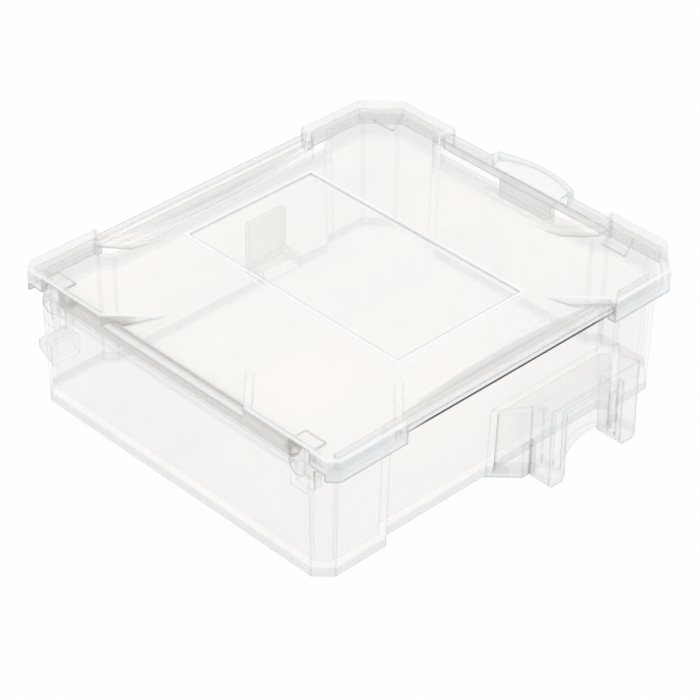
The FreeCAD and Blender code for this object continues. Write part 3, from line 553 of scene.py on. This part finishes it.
def frosted_plastic(name, finish, look):
    """Frosted see-through plastic: a thin milky veil, denser where the plastic is thick, with painted
    highlight, shade and shadow along the edges.
    """
    material = bpy.data.materials.new(name)
    material.use_nodes = True
    tree = material.node_tree
    shader = tree.nodes["Principled BSDF"]
    shader.inputs["IOR"].default_value = PLASTIC_IOR
    edges = place_group(
        tree, "moulded_edges", build_moulded_edges, radius=finish.edge_round, lower_below=look.lower_below)
    colour, veil = veil_layers(tree, finish, look, edges)
    link(tree, colour, shader.inputs["Base Color"])
    link(tree, veil, shader.inputs["Alpha"])
    skin = place_group(tree, "mould_skin", build_mould_skin, grain_size=finish.grain_size)
    marks = place_group(tree, "handling_marks", build_handling_marks, amount=look.scuffs)
    sheen = math_node(tree, "ADD", skin.outputs["Sheen"], marks.outputs["Sheen"])
    link(tree, math_node(tree, "ADD", sheen, finish.roughness), shader.inputs["Roughness"])
    bump = tree.nodes.new("ShaderNodeBump")
    bump.inputs["Distance"].default_value = finish.grain_depth
    relief = math_node(tree, "SUBTRACT", skin.outputs["Height"], marks.outputs["Height"])
    link(tree, relief, bump.inputs["Height"])
    link(tree, edges.outputs["Normal"], bump.inputs["Normal"])
    link(tree, bump.outputs["Normal"], shader.inputs["Normal"])
    return material


def dress(node_name, material):
    """Puts the material on a moulding, as its only material."""
    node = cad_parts[node_name]
    node.data.materials.clear()
    node.data.materials.append(material)


class PARTSBOX_OT_finish_tray(bpy.types.Operator):
    """Give the tray its frosted plastic"""

    bl_idname = "partsbox.finish_tray"
    bl_label = "Finish Tray"

    def execute(self, context):
        finish = context.scene.partsbox_finish
        # Foot band: thick plastic with painted shade; shoulder band: painted shade under the lid's skirt;
        # lower edges: painted shade
        foot = (TRAY_BOTTOM - MILLIMETRE, TRAY_BOTTOM + FLOOR_EDGE, finish.thick_and_shade_veil)
        shoulder = (TRAY_BOTTOM + RIM_START, TRAY_TOP + MILLIMETRE, finish.shoulder_shade_veil)
        look = Look(
            veil=finish.veil, edge_veil=finish.edge_veil, bands=(foot, shoulder),
            clear=(TRAY_SIDE, PAST_ALL), lower_below=TRAY_BOTTOM + FLOOR_EDGE,
            lower_tint=finish.thick_and_shade_tint, own_layers=None, scuffs=TRAY_SCUFFS)
        dress("tray", frosted_plastic("tray_plastic", finish, look))
        return {"FINISHED"}


class PARTSBOX_OT_finish_lid(bpy.types.Operator):
    """Give the lid its frosted plastic"""

    bl_idname = "partsbox.finish_lid"
    bl_label = "Finish Lid"

    def execute(self, context):
        finish = context.scene.partsbox_finish
        # Skirt band: thick plastic with painted shade where the skirt lies over the tray; below the skirt's
        # top the lower edges get painted shadow
        skirt_top = LID_TOP - SKIRT_DROP
        skirt = (LID_BOTTOM - MILLIMETRE, skirt_top, finish.thick_and_shade_veil)
        look = Look(
            veil=finish.lid_veil, edge_veil=finish.lid_highlight_veil, bands=(skirt,),
            clear=(LID_SIDE - LID_WALL, LID_END - LID_WALL), lower_below=skirt_top,
            lower_tint=finish.gap_shadow_tint, own_layers=lid_layers, scuffs=LID_SCUFFS)
        dress("lid", frosted_plastic("lid_plastic", finish, look))
        return {"FINISHED"}


def seen_directly(tree):
    """1 for rays from the camera, and for those that are mirrored or pass through plastic on the way."""
    path = tree.nodes.new("ShaderNodeLightPath")
    seen = math_node(tree, "MAXIMUM", path.outputs["Is Camera Ray"], path.outputs["Is Glossy Ray"])
    return math_node(tree, "MAXIMUM", seen, path.outputs["Is Transmission Ray"])


def make_floor(studio):
    """A wide pale floor just below the tray, nearly white where it is seen."""
    bpy.ops.mesh.primitive_plane_add(size=FLOOR_SIDE, location=(0.0, 0.0, TRAY_BOTTOM - FLOOR_GAP))
    floor = bpy.context.object
    floor.name = "studio_floor"
    material = bpy.data.materials.new("pale_floor")
    material.use_nodes = True
    tree = material.node_tree
    tree.nodes.clear()
    paint = tree.nodes.new("ShaderNodeBsdfDiffuse")
    paint.inputs["Color"].default_value = studio.floor_colour
    white = tree.nodes.new("ShaderNodeEmission")
    white.inputs["Color"].default_value = WHITE
    mix = tree.nodes.new("ShaderNodeMixShader")
    out = tree.nodes.new("ShaderNodeOutputMaterial")
    link(tree, math_node(tree, "MULTIPLY", seen_directly(tree), studio.floor_white), mix.inputs["Fac"])
    link(tree, paint.outputs["BSDF"], mix.inputs[1])
    link(tree, white.outputs["Emission"], mix.inputs[2])
    link(tree, mix.outputs["Shader"], out.inputs["Surface"])
    floor.data.materials.append(material)


def make_room(studio):
    """A white room: plain white where it is seen, and a soft light from all round."""
    world = bpy.data.worlds.new("white_room")
    bpy.context.scene.world = world
    world.use_nodes = True
    tree = world.node_tree
    tree.nodes.clear()
    white = tree.nodes.new("ShaderNodeBackground")
    white.inputs["Color"].default_value = WHITE
    light = tree.nodes.new("ShaderNodeBackground")
    light.inputs["Color"].default_value = studio.sky_colour
    light.inputs["Strength"].default_value = studio.sky
    mix = tree.nodes.new("ShaderNodeMixShader")
    out = tree.nodes.new("ShaderNodeOutputWorld")
    link(tree, seen_directly(tree), mix.inputs["Fac"])
    link(tree, light.outputs["Background"], mix.inputs[1])
    link(tree, white.outputs["Background"], mix.inputs[2])
    link(tree, mix.outputs["Shader"], out.inputs["Surface"])


def make_soft_light(name, place, side, power):
    """A square soft light that looks at the box."""
    lamp = bpy.data.lights.new(name, "AREA")
    lamp.shape = "SQUARE"
    lamp.size = side
    lamp.energy = power
    holder = bpy.data.objects.new(name, lamp)
    holder.location = place
    holder.rotation_mode = "QUATERNION"
    holder.rotation_quaternion = (-Vector(place)).to_track_quat("-Z", "Y")
    bpy.context.collection.objects.link(holder)


def make_camera(studio):
    """The camera of the photo, a long way off with a long lens."""
    lens = bpy.data.cameras.new("photo_camera")
    lens.sensor_width = SENSOR_WIDTH
    lens.lens = studio.focal_pixels * SENSOR_WIDTH / IMAGE_SIDE
    lens.clip_start = NEAREST_SEEN
    lens.clip_end = FARTHEST_SEEN
    camera = bpy.data.objects.new("photo_camera", lens)
    level = math.cos(studio.elevation)
    back = Vector((
        math.sin(studio.azimuth) * level,
        -math.cos(studio.azimuth) * level,
        math.sin(studio.elevation),
    ))
    camera.location = Vector(studio.aim) + back * studio.distance
    camera.rotation_mode = "QUATERNION"
    turn = Quaternion((0.0, 0.0, 1.0), studio.roll)
    camera.rotation_quaternion = (-back).to_track_quat("-Z", "Y") @ turn
    bpy.context.collection.objects.link(camera)
    bpy.context.scene.camera = camera


class PARTSBOX_OT_build_studio(bpy.types.Operator):
    """Add the floor, the white room, the lights and the camera"""

    bl_idname = "partsbox.build_studio"
    bl_label = "Build Studio"

    def execute(self, context):
        studio = context.scene.partsbox_studio
        make_floor(studio)
        make_room(studio)
        make_soft_light("key_softbox", place=(0.25, 0.35, 0.75), side=0.6, power=studio.key_power)
        make_soft_light("fill_softbox", place=(-0.8, -0.1, 0.35), side=0.4, power=studio.fill_power)
        make_camera(studio)
        context.scene.view_settings.view_transform = "Standard"
        cycles = context.scene.cycles
        cycles.max_bounces = LIGHT_BOUNCES
        cycles.transmission_bounces = LIGHT_BOUNCES
        cycles.glossy_bounces = LIGHT_BOUNCES
        cycles.diffuse_bounces = LIGHT_BOUNCES
        cycles.transparent_max_bounces = SKINS_SEEN_THROUGH
        return {"FINISHED"}


class VIEW3D_PT_parts_box(bpy.types.Panel):
    """The parts box's finish, studio and steps"""

    bl_label = "Parts Box"
    bl_space_type = "VIEW_3D"
    bl_region_type = "UI"
    bl_category = "Parts Box"

    def draw(self, context):
        layout = self.layout
        for step in STEPS:
            layout.operator(step.bl_idname)
        for settings in (context.scene.partsbox_finish, context.scene.partsbox_studio):
            for name in settings.__annotations__:
                layout.prop(settings, name)


STEPS = (PARTSBOX_OT_finish_tray, PARTSBOX_OT_finish_lid, PARTSBOX_OT_build_studio)
CLASSES = (PlasticFinish, StudioSettings) + STEPS + (VIEW3D_PT_parts_box,)


def register():
    for item in CLASSES:
        bpy.utils.register_class(item)
    bpy.types.Scene.partsbox_finish = PointerProperty(type=PlasticFinish)
    bpy.types.Scene.partsbox_studio = PointerProperty(type=StudioSettings)


def unregister():
    del bpy.types.Scene.partsbox_studio
    del bpy.types.Scene.partsbox_finish
    for item in reversed(CLASSES):
        bpy.utils.unregister_class(item)


def main():
    register()
    bpy.ops.partsbox.finish_tray()
    bpy.ops.partsbox.finish_lid()
    bpy.ops.partsbox.build_studio()


if __name__ == "__main__":
    main()
